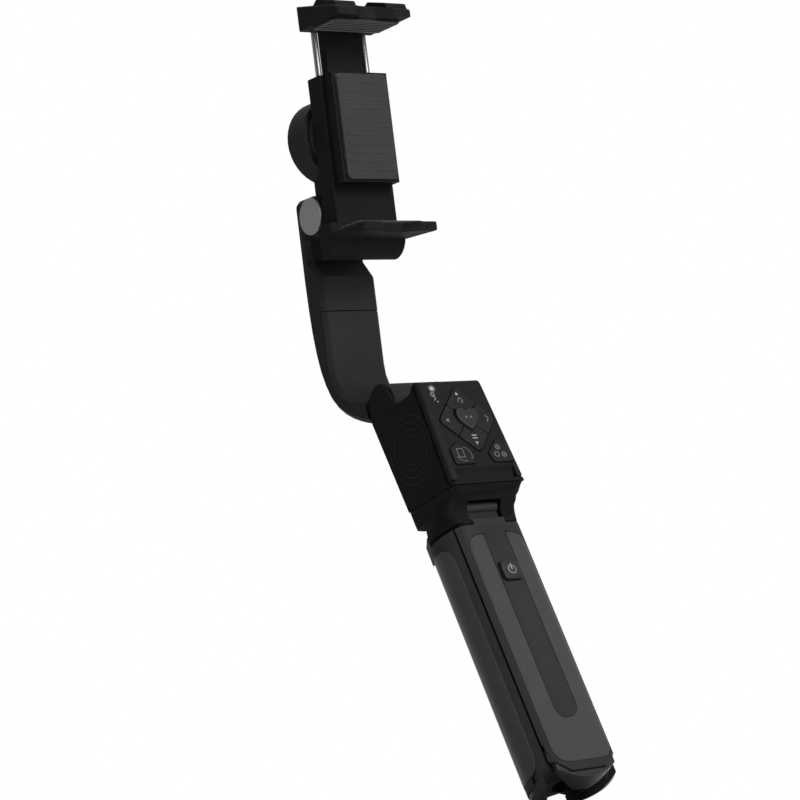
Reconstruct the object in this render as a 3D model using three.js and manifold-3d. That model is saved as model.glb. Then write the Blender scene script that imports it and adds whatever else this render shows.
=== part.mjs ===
// Phone gimbal on a telescopic pole: the handle opens into three tripod legs, a removable remote sits in the
// head, and a folding J-shaped arm carries a roll motor and a sprung phone clamp.
// Millimetres, +Z up. The buttons face -Y, the back is +Y. Everything is drawn round the pole's axis, and the whole
// is then moved back so that the middle of its bounding box stands over the origin.
import * as THREE from "three";
import { mergeVertices } from "three/addons/utils/BufferGeometryUtils.js";
import Module from "manifold-3d";

const wasm = await Module();
wasm.setup();

// Fits
const FIT = 0.15; // gap round a fixed neighbour
const RUN = 0.3; // gap round a moving neighbour

// Heights of the handle, from the floor up
const FOOT_TOP = 14.4;
const LEG_BOTTOM = 4;
const LEG_TOP = 95.9;
const NECK_BOTTOM = 96.5;
const HEAD_TOP = 148.8;
const SEAM_FRONT = 107.3; // height of the head's underside at the remote's face
const SEAM_SLOPE = 0.2; // rise of the head's underside towards the back

// Handle section: flat faces by the angle of their outward normal from the front, and distance from the centre
const HANDLE_FACES = [[0, 10.8], [53, 16.5], [75, 16.8], [108, 16.9], [138, 15.4], [180, 13]];
const NECK_TOP_FACES = [[90, 15], [180, 9.7]];
const LEG_BORE = 7.4; // radius of the hollow that the three closed legs leave for the pole
const LEG_SECTOR = 120; // degrees that each leg covers
const LEG_SPLIT = 1.6; // degrees cut from each side of a leg

// Leg hinges
const LEG_PIVOT_Z = 103.4;
const LEG_PIN_R = 0.9;
const LEG_EYE_R = 1.8;

// Pole: outer radius of each tube, from the fixed one to the one that carries the head
const TUBE_RADII = [6.6, 5.85, 5.1, 4.35, 3.6];
const TUBE_WALL = 0.6;
const TUBE_BOTTOM = 14;
const SOCKET_TOP = 121.3; // end of the head's socket for the last tube
const TUBE_TOP = 108.9;

// Head and remote
const DOCK_FACE = -15.9; // head surface that the remote lies against
const PANEL = -18.8; // front face of the remote
const CHIN_TOP = 109;
const HINGE = { y: 4.3, z: 154.2 }; // arm fold axis, along X
const EAR_R = 6.6;
const KNUCKLE_R = 6.6;
const KNUCKLE_HALF = 11.15;
const SLOT_FLOOR = 147;
const PAD_CENTRE = { x: 1, z: 132 }; // centre of the four-way pad

// Arm, in its own frame, which leans forward: z runs towards the phone
const LEAN = THREE.MathUtils.degToRad(23.3);
const FOLD = { y: 0.65, z: -1.26 }; // fold axis
const ARM_HALF = 12.3;
const TILT = { y: 28.5, z: 70.8 }; // tilt axis
const TILT_EYE_R = 7.5;
const ROLL_Z = 98.7; // height of the phone's centre and of the roll axis
const PHONE_HALF = 35.75; // half the width of the phone that the clamp is open for
const JAW_HALF = 16;
const LIP = -7.2; // front of the jaws
const BODY_FRONT = 12.4;
const BODY_BACK = 20.3;

const COLOURS = {
  shell: { color: 0x1d1d1f, roughness: 0.55, metalness: 0 },
  rubber: { color: 0x2b2b2d, roughness: 0.85, metalness: 0 },
  key: { color: 0x222224, roughness: 0.5, metalness: 0 },
  steel: { color: 0xb9bbbe, roughness: 0.3, metalness: 1 },
  tube: { color: 0xc9cbce, roughness: 0.25, metalness: 1 },
  board: { color: 0x1e5a34, roughness: 0.6, metalness: 0 },
  copper: { color: 0xb5703c, roughness: 0.4, metalness: 1 },
  cell: { color: 0x4a6fa5, roughness: 0.5, metalness: 0 },
  led: { color: 0xe8f2ff, roughness: 0.3, metalness: 0 },
};

const part = new THREE.Group();
const arm = new THREE.Group();
arm.rotation.x = LEAN;
arm.position.set(0, -FOLD.y, -FOLD.z).applyEuler(arm.rotation);
arm.position.add(new THREE.Vector3(0, HINGE.y, HINGE.z));
part.add(arm);

// ---------------------------------------------------------------- solids

function toSolid(geometry) {
  const bare = geometry.clone();
  bare.deleteAttribute("normal");
  bare.deleteAttribute("uv");
  const merged = mergeVertices(bare, 1e-4);
  return new wasm.Manifold(
    new wasm.Mesh({
      numProp: 3,
      vertProperties: new Float32Array(merged.attributes.position.array),
      triVerts: new Uint32Array(merged.index.array),
    }),
  );
}

function toGeometry(solid) {
  const mesh = solid.getMesh();
  const geometry = new THREE.BufferGeometry();
  geometry.setAttribute("position", new THREE.BufferAttribute(mesh.vertProperties, 3));
  geometry.setIndex(new THREE.BufferAttribute(mesh.triVerts, 1));
  geometry.computeVertexNormals();
  return geometry;
}

function add(group, name, colour, solid) {
  const mesh = new THREE.Mesh(toGeometry(solid), new THREE.MeshStandardMaterial(COLOURS[colour]));
  mesh.name = name;
  group.add(mesh);
}

function box(x, y, z) {
  const geometry = new THREE.BoxGeometry(x[1] - x[0], y[1] - y[0], z[1] - z[0]);
  geometry.translate((x[0] + x[1]) / 2, (y[0] + y[1]) / 2, (z[0] + z[1]) / 2);
  return toSolid(geometry);
}

// Cylinder along X, Y or Z, centred on the two other coordinates
function cylinder(axis, radius, from, to, a, b, segments = 28) {
  const geometry = new THREE.CylinderGeometry(radius, radius, to - from, segments);
  const middle = (from + to) / 2;
  if (axis === "x") geometry.rotateZ(-Math.PI / 2).translate(middle, a, b);
  if (axis === "y") geometry.translate(a, middle, b);
  if (axis === "z") geometry.rotateX(Math.PI / 2).translate(a, b, middle);
  return toSolid(geometry);
}

const ALONG_X = new THREE.Matrix4().makeBasis(
  new THREE.Vector3(0, 1, 0),
  new THREE.Vector3(0, 0, 1),
  new THREE.Vector3(1, 0, 0),
);
const ALONG_Y = new THREE.Matrix4().makeBasis(
  new THREE.Vector3(1, 0, 0),
  new THREE.Vector3(0, 0, 1),
  new THREE.Vector3(0, -1, 0),
);

// A (y, z) outline extruded from x0 to x1, with its two rims chamfered by `bevel`
function extrudeX(shape, x0, x1, bevel = 0, curveSegments = 6) {
  const geometry = new THREE.ExtrudeGeometry(shape, {
    depth: x1 - x0 - 2 * bevel,
    bevelEnabled: bevel > 0,
    bevelThickness: bevel,
    bevelSize: bevel,
    bevelOffset: -bevel,
    bevelSegments: 1,
    curveSegments,
  });
  geometry.applyMatrix4(ALONG_X).translate(x0 + bevel, 0, 0);
  return toSolid(geometry);
}

// An (x, z) outline extruded from front to back
function extrudeY(shape, front, back, curveSegments = 5) {
  const geometry = new THREE.ExtrudeGeometry(shape, {
    depth: back - front,
    bevelEnabled: false,
    curveSegments,
  });
  geometry.applyMatrix4(ALONG_Y).translate(0, back, 0);
  return toSolid(geometry);
}

function extrudeZ(shape, bottom, top) {
  const geometry = new THREE.ExtrudeGeometry(shape, { depth: top - bottom, bevelEnabled: false });
  geometry.translate(0, 0, bottom);
  return toSolid(geometry);
}

function polygon(points) {
  return new THREE.Shape(points.map(([x, y]) => new THREE.Vector2(x, y)));
}

// A polygon whose corners are arcs of radius r; points run anticlockwise
function rounded(points, r) {
  const shape = new THREE.Shape();
  points.forEach((point, i) => {
    const here = new THREE.Vector2(...point);
    const before = new THREE.Vector2(...points.at(i - 1)).sub(here);
    const after = new THREE.Vector2(...points[(i + 1) % points.length]).sub(here);
    const reach = Math.min(r, before.length() / 2.05, after.length() / 2.05);
    const enter = before.setLength(reach).add(here);
    const leave = after.setLength(reach).add(here);
    if (i === 0) shape.moveTo(enter.x, enter.y);
    else shape.lineTo(enter.x, enter.y);
    shape.quadraticCurveTo(here.x, here.y, leave.x, leave.y);
  });
  shape.closePath();
  return shape;
}

function roundedBox(x0, x1, z0, z1, r) {
  return rounded([[x0, z0], [x1, z0], [x1, z1], [x0, z1]], r);
}

function tube(outer, inner, from, to, axis = "z", a = 0, b = 0) {
  const profile = [
    new THREE.Vector2(inner, from),
    new THREE.Vector2(outer, from),
    new THREE.Vector2(outer, to),
    new THREE.Vector2(inner, to),
    new THREE.Vector2(inner, from),
  ];
  const geometry = new THREE.LatheGeometry(profile, 28);
  if (axis === "y") geometry.translate(a, 0, b);
  else geometry.rotateX(Math.PI / 2).translate(a, b, 0);
  return toSolid(geometry);
}

// Turns a solid that was made facing -Y to face another way round the handle
function turn(solid, degrees) {
  return degrees === 0 ? solid : solid.rotate([0, 0, degrees]);
}

// ---------------------------------------------------------------- handle section

// Distance from the centre to a rounded outline of flat faces, at an angle from the front
function reachOf(faces, angle, offset = 0) {
  const sharpness = 14;
  let sum = 0;
  for (const [degrees, distance] of faces)
    for (const side of degrees % 180 === 0 ? [1] : [1, -1]) {
      const facing = Math.cos(angle - side * THREE.MathUtils.degToRad(degrees));
      if (facing > 0) sum += (facing / (distance + offset)) ** sharpness;
    }
  return sum ** (-1 / sharpness);
}

// A point at an angle from the front, turning towards +X
function polar(reach, angle) {
  return [reach * Math.sin(angle), -reach * Math.cos(angle)];
}

function handleOutline(offset, count = 48) {
  const points = [];
  for (let i = 0; i < count; i++) {
    const angle = (i / count) * 2 * Math.PI;
    points.push(polar(reachOf(HANDLE_FACES, angle, offset), angle));
  }
  return polygon(points);
}

// The part of the handle section that one leg covers
function legSection(middle, offset = 0) {
  const half = THREE.MathUtils.degToRad(LEG_SECTOR / 2 - LEG_SPLIT);
  const centre = THREE.MathUtils.degToRad(middle);
  const outside = [];
  const inside = [];
  const steps = 16;
  for (let i = 0; i <= steps; i++) {
    const angle = centre - half + (2 * half * i) / steps;
    outside.push(polar(reachOf(HANDLE_FACES, angle, offset), angle));
    if (i % 2 === 0) inside.unshift(polar(LEG_BORE, angle));
  }
  return polygon([...outside, ...inside]);
}

// A closed skin through rings of equally many points, each [z, points]
function loft(rings) {
  const count = rings[0][1].length;
  const positions = [];
  for (const [z, points] of rings) for (const [x, y] of points) positions.push(x, y, z);
  const index = [];
  for (let r = 0; r + 1 < rings.length; r++)
    for (let i = 0; i < count; i++) {
      const a = r * count + i;
      const b = r * count + ((i + 1) % count);
      index.push(a, b, b + count, a, b + count, a + count);
    }
  const last = (rings.length - 1) * count;
  const centre = positions.length / 3;
  positions.push(0, 0, rings[0][0], 0, 0, rings.at(-1)[0]);
  for (let i = 0; i < count; i++) {
    const next = (i + 1) % count;
    index.push(centre, next, i, centre + 1, last + i, last + next);
  }
  const geometry = new THREE.BufferGeometry();
  geometry.setAttribute("position", new THREE.Float32BufferAttribute(positions, 3));
  geometry.setIndex(index);
  return toSolid(geometry);
}

// ---------------------------------------------------------------- legs

// turn: degrees from the front; face and pivot: distances from the pole's axis; tongue and pin: half widths
// of the tongue and its pin; rise: top of the tongue's plate; foot: radius of the plate inside
// the leg; sole: back and front of the sole, from the axis; pad: sides of the grip
const FRONT_HINGE = { face: 10.8, pivot: 8.4, tongue: 6.8, rise: 98, pin: 8.4, foot: 13.6, sole: [2.8, 9.9] };
const SIDE_HINGE = { face: 15.9, pivot: 11.6, tongue: 4.4, rise: 99.8, pin: 5.6, foot: 11, sole: [10.6, 15.6] };
const LEGS = [
  { name: "front", turn: 0, pad: [-12, 12], ...FRONT_HINGE },
  { name: "left", turn: -120, pad: [-8.5, 12], ...SIDE_HINGE },
  { name: "right", turn: 120, pad: [-12, 8.5], ...SIDE_HINGE },
];
const SOLE_R = 20.5; // radius of the arc under each sole
const SOLE_RISE = 1.5; // height of a sole's outer edge above its inner edge
const PAD_TOP = 92;
const PAD_BOTTOM = 7;
const STRIP_HALF = 4.8;
const STRIP_BOTTOM = 22.4;
const BUTTON_Z = 77.3;

// Outline of the grip pad: the front one is a U round the smooth strip
function padOutline(leg, grow) {
  const [x0, x1] = leg.pad;
  const shape = roundedBox(x0 - grow, x1 + grow, PAD_BOTTOM - grow, PAD_TOP + grow, 6);
  return extrudeY(shape, -20, -3);
}

function stripOutline(grow) {
  const shape = roundedBox(-STRIP_HALF + grow, STRIP_HALF - grow, STRIP_BOTTOM + grow, 100, 4.6);
  return extrudeY(shape, -20, -3);
}

// The sheet that follows the handle's outside between two offsets from it
function skin(outer, inner) {
  return extrudeZ(handleOutline(outer), 2, 95).subtract(extrudeZ(handleOutline(inner), 1, 96));
}

// Rubber plate set into the leg's end, with a half-round sole
function footPlate(leg, grow) {
  const radius = leg.foot;
  const shape = new THREE.Shape();
  shape.moveTo(radius + grow, FOOT_TOP + grow);
  shape.lineTo(-radius - grow, FOOT_TOP + grow);
  shape.lineTo(-radius - grow, radius);
  shape.absarc(0, radius, radius + grow, Math.PI, 2 * Math.PI, false);
  shape.closePath();
  const front = -(leg.face - 2.2);
  return turn(extrudeY(shape, front - grow, front + 3.6 + grow, 8), leg.turn);
}

// Wedge between the planes that part a leg from its neighbours
function sector(leg) {
  const half = THREE.MathUtils.degToRad(LEG_SECTOR / 2 - LEG_SPLIT);
  const x = 40 * Math.sin(half);
  const y = -40 * Math.cos(half);
  return turn(extrudeZ(polygon([[0, -0.6], [-x, y], [x, y]]), -1, 20), leg.turn);
}

// Rubber sole below the leg's end: its underside is a shallow arc that rises towards the outside
function sole(leg) {
  const half = 12;
  const middle = 6;
  const outline = (rise) => {
    const points = [];
    for (let i = 0; i <= 16; i++) {
      const x = -half + (i * half) / 8;
      points.push([x, rise + SOLE_R - Math.sqrt(SOLE_R ** 2 - x ** 2) - middle]);
    }
    return [...points, [half, middle], [-half, middle]];
  };
  const [inner, outer] = leg.sole;
  const block = loft([[inner, outline(0)], [outer, outline(SOLE_RISE)]]).rotate([90, 0, 0]);
  const below = box([-30, 30], [-30, 30], [-1, LEG_BOTTOM - RUN]).add(chamferBelow(leg, RUN));
  const outside = extrudeZ(handleOutline(-0.5), -1, 20);
  return turn(block.translate([0, 0, middle]), leg.turn).intersect(below).intersect(outside);
}

function footSolid(leg) {
  const shank = extrudeZ(legSection(leg.turn, -1.2), LEG_BOTTOM - 1, FOOT_TOP + 1);
  return footPlate(leg, 0).intersect(shank).add(sole(leg)).intersect(sector(leg));
}

// Tongue that runs up into the neck, and the barrel round the hinge pin
function tongue(leg) {
  const half = leg.tongue;
  const face = -leg.face + 0.05;
  const pivot = -leg.pivot;
  const plate = extrudeX(
    polygon([[face, LEG_TOP - 3], [face + 3.2, LEG_TOP - 3], [face + 3.2, leg.rise], [face, leg.rise]]),
    -half,
    half,
  );
  const web = extrudeX(
    polygon([
      [face + 2.3, leg.rise - 1.5],
      [pivot + LEG_EYE_R - 0.2, leg.rise - 1.5],
      [pivot + LEG_EYE_R - 0.2, LEG_PIVOT_Z],
      [face + 2.3, LEG_PIVOT_Z],
    ]),
    -half + 0.1,
    half - 0.1,
  );
  const barrel = cylinder("x", LEG_EYE_R, -half + 0.1, half - 0.1, pivot, LEG_PIVOT_Z, 28);
  const bore = cylinder("x", LEG_PIN_R + 0.08, -9, 9, pivot, LEG_PIVOT_Z, 16);
  return turn(plate.add(web).add(barrel).subtract(bore), leg.turn);
}

// Space below the chamfers at the two lower corners of a leg
function chamferBelow(leg, drop = 0) {
  const low = LEG_BOTTOM - 1 - drop;
  const high = LEG_BOTTOM + 10 - drop;
  const right = extrudeY(polygon([[6, low], [20, low], [20, high]]), -20, -3);
  const left = extrudeY(polygon([[-6, low], [-20, high], [-20, low]]), -20, -3);
  return turn(right.add(left), leg.turn);
}

function legBody(leg) {
  const pocket = turn(padOutline(leg, 0.15), leg.turn);
  const pad = leg.name === "front" ? pocket.subtract(stripOutline(0.15)) : pocket;
  let body = extrudeZ(legSection(leg.turn), LEG_BOTTOM, LEG_TOP)
    .subtract(chamferBelow(leg))
    .add(tongue(leg))
    .subtract(skin(2, -0.75).intersect(pad))
    .subtract(footPlate(leg, FIT));
  if (leg.name === "front") body = body.subtract(powerButton(FIT, 0.7));
  return body;
}

function legPad(leg) {
  const outline = turn(padOutline(leg, 0), leg.turn);
  const sheet = skin(0.12, -0.65).intersect(outline);
  return leg.name === "front" ? sheet.subtract(stripOutline(0)).subtract(powerButton(FIT, 0)) : sheet;
}

function powerButton(grow, deeper) {
  const shape = roundedBox(-3.9 - grow, 3.9 + grow, BUTTON_Z - 3.6 - grow, BUTTON_Z + 3.6 + grow, 2);
  return extrudeY(shape, -12.4 - grow, -9.7 + deeper);
}

for (const leg of LEGS) {
  add(part, `${leg.name}_leg`, "shell", legBody(leg));
  add(part, `${leg.name}_leg_pad`, "rubber", legPad(leg));
  add(part, `${leg.name}_foot`, "rubber", footSolid(leg));
  const pin = cylinder("x", LEG_PIN_R, -leg.pin, leg.pin, -leg.pivot, LEG_PIVOT_Z, 16);
  add(part, `${leg.name}_leg_pin`, "steel", turn(pin, leg.turn));
}
add(part, "power_button", "key", powerButton(0, 0));

// ---------------------------------------------------------------- neck

// Distance of the neck's front face from the centre: drawn in under the chin, then out to the chin's lip
function neckFront(z) {
  const flare = Math.max(0, (z - 99.5) / 7) ** 2.3;
  return 10.1 + 0.7 * Math.max(0, 1 - (z - NECK_BOTTOM) / 3) + 7.4 * flare;
}

const NECK_RELIEF = 0.85; // height of the chamfer that clears the tops of the opening legs

// Blend of the handle's outline and the head's, behind the front face
function neckRing(z) {
  const t = THREE.MathUtils.smoothstep(z, NECK_BOTTOM, 107);
  const front = neckFront(z);
  const relief = 2 * Math.max(0, 1 - (z - NECK_BOTTOM) / NECK_RELIEF);
  const points = [];
  const count = 56;
  for (let i = 0; i < count; i++) {
    const angle = (i / count) * 2 * Math.PI;
    const low = reachOf(HANDLE_FACES.slice(1), angle, -relief);
    const high = reachOf(NECK_TOP_FACES, angle);
    const sides = THREE.MathUtils.lerp(low, Math.min(high, 24), t);
    const facing = Math.max(0, Math.cos(angle));
    const reach = (sides ** -16 + (facing / front) ** 16) ** (-1 / 16);
    points.push(polar(reach, angle));
  }
  return [z, points];
}

// Everything above the slanted joint between neck and head
function aboveSeam(drop) {
  const at = (y) => SEAM_FRONT + (y - PANEL) * SEAM_SLOPE - drop;
  return extrudeX(polygon([[-30, at(-30)], [30, at(30)], [30, 200], [-30, 200]]), -30, 30);
}

function hingeNotch(leg) {
  const half = leg.tongue + RUN;
  const front = leg.name === "front" ? -12.8 : -leg.face - 6;
  const back = -leg.pivot + LEG_EYE_R + RUN;
  const notch = box([-half, half], [front, back], [NECK_BOTTOM - 1, LEG_PIVOT_Z + LEG_EYE_R + 0.2]);
  const hole = cylinder("x", LEG_PIN_R + 0.02, -leg.pin - 0.2, leg.pin + 0.2, -leg.pivot, LEG_PIVOT_Z, 16);
  return turn(notch.add(hole), leg.turn);
}

function neckCollar() {
  const levels = [NECK_BOTTOM, NECK_BOTTOM + NECK_RELIEF, 98.4, 99.5, 101, 102.5, 104, 105.3, 106.6, 108, 114];
  let solid = loft(levels.map(neckRing)).subtract(aboveSeam(RUN));
  solid = solid.subtract(cylinder("z", TUBE_RADII[0] + 0.05, 90, 120, 0, 0));
  for (const leg of LEGS) solid = solid.subtract(hingeNotch(leg));
  return solid;
}

add(part, "neck_collar", "shell", neckCollar());

// ---------------------------------------------------------------- pole

TUBE_RADII.forEach((radius, i) => {
  const carriesHead = i === TUBE_RADII.length - 1;
  const top = carriesHead ? SOCKET_TOP - 0.5 : TUBE_TOP;
  add(part, `pole_tube_${i + 1}`, "tube", tube(radius, radius - TUBE_WALL, TUBE_BOTTOM + i * 0.3, top));
});

// ---------------------------------------------------------------- head

// Widens or narrows a solid across X with height: the head is 26.8 wide at the top and 30.4 at the chin
function taper(solid) {
  const halfAt = (z) => THREE.MathUtils.mapLinear(z, HEAD_TOP, CHIN_TOP, 13.4, 15.1);
  return solid.warp((v) => {
    v[0] *= halfAt(v[2]) / 14;
  });
}

function headProfile() {
  const shape = new THREE.Shape();
  shape.moveTo(DOCK_FACE, CHIN_TOP);
  shape.lineTo(PANEL + 0.4, CHIN_TOP);
  shape.lineTo(PANEL, CHIN_TOP - 0.5);
  shape.lineTo(PANEL, SEAM_FRONT - 5);
  shape.lineTo(9.2, SEAM_FRONT - 5);
  shape.lineTo(9.8, 113.6);
  shape.lineTo(12.5, 149.5);
  shape.quadraticCurveTo(12.6, 152, HINGE.y + EAR_R, HINGE.z);
  shape.absarc(HINGE.y, HINGE.z, EAR_R, 0, Math.PI * 0.78, false);
  shape.lineTo(-1.9, 151.8);
  shape.quadraticCurveTo(-2.4, 148.2, -6.5, 148);
  shape.lineTo(-11.4, 147.3);
  shape.quadraticCurveTo(-13.6, 147.1, -14.2, HEAD_TOP);
  shape.lineTo(DOCK_FACE, HEAD_TOP);
  shape.closePath();
  return shape;
}

const DOCK = { half: 11.8, bottom: 112.7, top: 146.2, back: -10.4 };
const CAVITY = { half: 11, front: -8.2, bottom: 123.4, top: 144.4 };
const USB = { y: [-6.1, -2.9], z: [128, 137] };

function headHousing() {
  const outside = taper(extrudeX(headProfile(), -14, 14, 0.6, 8)).intersect(aboveSeam(0));
  const dock = box([-DOCK.half, DOCK.half], [-20, DOCK.back], [DOCK.bottom, DOCK.top]);
  const cavity = box([-CAVITY.half, CAVITY.half], [CAVITY.front, 20], [CAVITY.bottom, CAVITY.top]);
  const slot = box([-KNUCKLE_HALF - RUN, KNUCKLE_HALF + RUN], [HINGE.y - 7.8, 20], [SLOT_FLOOR, 170]);
  const pin = cylinder("x", 1.75, -12.6, 12.6, HINGE.y, HINGE.z, 20);
  const socket = cylinder("z", TUBE_RADII[4] + FIT, 100, SOCKET_TOP, 0, 0);
  const eyelet = cylinder("x", 0.55, -20, -12.6, -14.6, 135.7, 12);
  const port = box([7.4, 20], [USB.y[0] - FIT, USB.y[1] + FIT], [USB.z[0] - FIT, USB.z[1] + FIT]);
  return outside.subtract(dock).subtract(cavity).subtract(slot).subtract(pin).subtract(socket).subtract(port).subtract(eyelet);
}

function headBackCover() {
  const half = CAVITY.half - FIT;
  const slab = extrudeX(polygon([[8.7, 120], [10.2, 120], [12.1, 146], [10.5, 146]]), -half, half);
  return slab.intersect(box([-half, half], [0, 20], [CAVITY.bottom + FIT, CAVITY.top - FIT]));
}

function usbPort() {
  const shell = box([7.5, 13.9], USB.y, USB.z);
  return shell.subtract(box([8.5, 20], [USB.y[0] + 0.5, USB.y[1] - 0.5], [USB.z[0] + 0.5, USB.z[1] - 0.5]));
}

add(part, "head_housing", "shell", headHousing());
add(part, "head_back_cover", "shell", headBackCover());
add(part, "battery", "cell", box([-10.4, 6.6], [-0.6, 8.2], [124, 143.8]));
add(part, "main_board", "board", box([-10.6, 10.6], [-7.8, -6.4], [124, 143.8]));
add(part, "usb_port", "steel", usbPort());
add(part, "fold_pin", "steel", cylinder("x", 1.65, -12.5, 12.5, HINGE.y, HINGE.z, 20));

// ---------------------------------------------------------------- remote

const REMOTE = { half: 11.5, bottom: 113, top: 145.9, back: -10.8 };
const SCOOP = { r: 5.2, y: -22.35, z: 109.6, half: 12.6 }; // finger hollow above the chin
const KEY_BACK = -17.3;
const LED = { x: -8.4, z: 145.1 };

function remoteProfile() {
  const shape = new THREE.Shape();
  shape.moveTo(DOCK_FACE - FIT, CHIN_TOP + FIT);
  shape.lineTo(DOCK_FACE - FIT, HEAD_TOP);
  shape.quadraticCurveTo(PANEL + 0.1, HEAD_TOP, PANEL, HEAD_TOP - 2.8);
  shape.lineTo(PANEL, CHIN_TOP + FIT);
  shape.closePath();
  return shape;
}

// Diamond of the four-way pad
function diamond(grow, back) {
  const { x, z } = PAD_CENTRE;
  const w = 12 + grow * 1.4;
  const h = 13 + grow * 1.4;
  return extrudeY(rounded([[x, z - h], [x + w, z], [x, z + h], [x - w, z]], 2), -30, back);
}

// Raised heart-shaped button in the middle of the pad
function heartOutline(grow) {
  const { x, z } = PAD_CENTRE;
  const s = 1 + grow / 4.4;
  const shape = new THREE.Shape();
  shape.moveTo(x, z - 4.6 * s);
  shape.bezierCurveTo(x + 1.6 * s, z - 3.4 * s, x + 4.7 * s, z - 0.8 * s, x + 4.6 * s, z + 1.9 * s);
  shape.bezierCurveTo(x + 4.4 * s, z + 4.8 * s, x + 1.4 * s, z + 4.6 * s, x, z + 3.2 * s);
  shape.bezierCurveTo(x - 1.4 * s, z + 4.6 * s, x - 4.4 * s, z + 4.8 * s, x - 4.6 * s, z + 1.9 * s);
  shape.bezierCurveTo(x - 4.7 * s, z - 0.8 * s, x - 1.6 * s, z - 3.4 * s, x, z - 4.6 * s);
  return shape;
}

// Five-sided mode button; side is -1 on the left and 1 on the right
function modeOutline(side, grow) {
  const corners = [[10.2, -17.3], [12.3, -11.1], [8.2, -8.4], [3, -13.7], [4.3, -17.3]];
  const points = corners.map(([x, z]) => [
    PAD_CENTRE.x + side * (7.6 + (x - 7.6) * (1 + grow / 4.2)),
    PAD_CENTRE.z - 13.1 + (z + 13.1) * (1 + grow / 4.2),
  ]);
  points[0][0] = points[1][0];
  return rounded(side > 0 ? points : points.reverse(), 1.1);
}

const KEY_FLOOR = -16.7; // bottom of the recesses that the keys move in

function remoteShell() {
  const face = taper(extrudeX(remoteProfile(), -14, 14, 0.5, 6));
  const tub = box([-REMOTE.half, REMOTE.half], [DOCK_FACE - 1, REMOTE.back], [REMOTE.bottom, REMOTE.top]);
  const hollow = box([-10.3, 10.3], [-17.2, 0], [114.4, 144.6]);
  const scoop = cylinder("x", SCOOP.r, -20, 20, SCOOP.y, SCOOP.z, 48)
    .intersect(extrudeY(roundedBox(-SCOOP.half, SCOOP.half, CHIN_TOP - 4, CHIN_TOP + 5, 1.6), -30, 0));
  const led = cylinder("y", 1, -30, KEY_BACK + 0.3, LED.x, LED.z, 16);
  return face
    .add(tub)
    .subtract(hollow)
    .subtract(scoop)
    .subtract(diamond(RUN, KEY_FLOOR))
    .subtract(extrudeY(modeOutline(-1, RUN), -30, KEY_FLOOR))
    .subtract(extrudeY(modeOutline(1, RUN), -30, KEY_FLOOR))
    .subtract(led);
}

function padKey(quadrant) {
  const { x, z } = PAD_CENTRE;
  const gap = RUN / 2;
  const reach = 20;
  const wedge = extrudeY(
    polygon([[x, z], [x + reach, z - reach], [x + reach, z + reach]]),
    PANEL - 0.45,
    KEY_BACK,
  );
  const turned = wedge.translate([-x, 0, -z]).rotate([0, 90 * quadrant, 0]).translate([x, 0, z]);
  const along = new THREE.Vector2(1, 0).rotateAround(new THREE.Vector2(), (-Math.PI / 2) * quadrant);
  const shifted = turned.translate([along.x * gap * 1.5, 0, along.y * gap * 1.5]);
  return shifted.intersect(diamond(0, KEY_BACK)).subtract(extrudeY(heartOutline(RUN), -30, -10));
}

const KEYS = ["right_key", "down_key", "left_key", "up_key"];
add(part, "remote_shell", "shell", remoteShell());
add(part, "remote_back_cover", "shell", box([-10.15, 10.15], [-12.2, -10.9], [114.55, 144.45]));
add(part, "remote_board", "board", box([-9.8, 9.8], [-15.6, -14.6], [115, 144]));
add(part, "coin_cell", "steel", cylinder("y", 8, -14.4, -12.6, 0, 124));
add(part, "key_mat", "rubber", box([-9.9, 9.9], [-16.6, -15.7], [114.8, 144.2]));
add(part, "status_led", "led", cylinder("y", 0.9, PANEL - 0.1, KEY_BACK + 0.2, LED.x, LED.z, 16));
KEYS.forEach((name, i) => add(part, name, "key", padKey(i)));
add(part, "centre_button", "key", extrudeY(heartOutline(0), PANEL - 1.5, KEY_BACK, 4));
add(part, "left_mode_button", "key", extrudeY(modeOutline(-1, 0), PANEL - 0.6, KEY_BACK));
add(part, "right_mode_button", "key", extrudeY(modeOutline(1, 0), PANEL - 0.6, KEY_BACK));

// ---------------------------------------------------------------- arm

const ARM_INNER = 28.5; // front face of the arm's spine
const ARM_OUTER = 39.6; // back face of the arm's spine
const PLATE_INNER = 33.7; // front face of the thinner plate above the step
const SEAM = 36.2; // joint between the two inner covers

function armProfile() {
  const shape = new THREE.Shape();
  shape.moveTo(ARM_INNER, 17);
  shape.lineTo(ARM_INNER, 49);
  shape.lineTo(PLATE_INNER, 55.6);
  shape.lineTo(PLATE_INNER, 63.6);
  shape.absarc(TILT.y, TILT.z, TILT_EYE_R, Math.PI * 1.7, Math.PI * 0.5, true);
  shape.lineTo(36.6, TILT.z + TILT_EYE_R);
  shape.quadraticCurveTo(ARM_OUTER, TILT.z + TILT_EYE_R, ARM_OUTER, 75);
  shape.lineTo(ARM_OUTER, 48);
  shape.bezierCurveTo(39.2, 26, 37.6, 14, 31.5, 4.5);
  shape.bezierCurveTo(26, -3, 15, -6, 9, -7.4);
  shape.lineTo(4.5, FOLD.z - KNUCKLE_R - 0.1);
  shape.absarc(FOLD.y, FOLD.z, KNUCKLE_R, -Math.PI * 0.5, Math.PI * 0.12, true);
  shape.lineTo(15, 2.8);
  shape.bezierCurveTo(22.6, 2.8, ARM_INNER, 8.6, ARM_INNER, 17);
  return shape;
}

// Space of the two inner covers: a layer that follows the front of the spine, from the hook to the tilt eyes
function coverLayer(grow) {
  const back = 31 + grow;
  return extrudeX(
    polygon([
      [10, 8],
      [20.5, 1 - grow],
      [26.5, 4.6 - grow],
      [29.6, 9.6 - grow],
      [back, 17],
      [back, 49.6],
      [36 + grow, 56.4],
      [36 + grow, 60.6 + grow],
      [20, 60.6 + grow],
      [20, 20],
    ]),
    -20,
    20,
  );
}

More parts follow.
